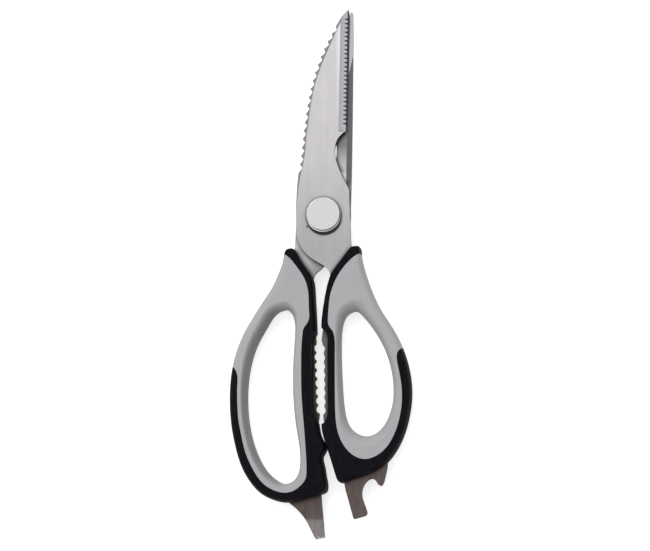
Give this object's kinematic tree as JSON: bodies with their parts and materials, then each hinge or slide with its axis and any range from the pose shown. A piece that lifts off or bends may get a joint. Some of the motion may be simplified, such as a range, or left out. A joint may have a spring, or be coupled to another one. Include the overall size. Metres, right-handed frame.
{
  "type": "kitchen shears",
  "caption": "Kitchen shears with two-tone loop handles, fish scaler, micro-serrated blade, bone notch, nutcracker jaws, bottle opener and lid lifter.",
  "frame": {"origin": "middle of the footprint of the closed shears, on the surface they lie on", "axes": "+Y towards the blade tips, +Z out of the front face, +X to the right handle"},
  "size_m": [0.0788, 0.2313, 0.014],
  "materials": {
    "blade_steel": "brushed along the blade",
    "pivot_steel": "satin",
    "black_plastic": "fine moulded grain",
    "grey_plastic": "smooth satin"
  },
  "bodies": {
    "right_half": {"front_blade": "blade_steel", "right_handle_frame": "black_plastic", "right_handle_grip": "grey_plastic", "pivot_bolt": "pivot_steel", "pivot_washer": "pivot_steel", "spring_washer": "pivot_steel", "pivot_nut": "pivot_steel"},
    "left_half": {"rear_blade": "blade_steel", "left_handle_frame": "black_plastic", "left_handle_grip": "grey_plastic"}
  },
  "joints": [
    {"name": "blade_pivot", "type": "hinge", "parent": "right_half", "child": "left_half", "pos_m": [0.00145, 0.02455, 0.007], "axis": [0, 0, -1], "range_deg": [0, 90]}
  ]
}
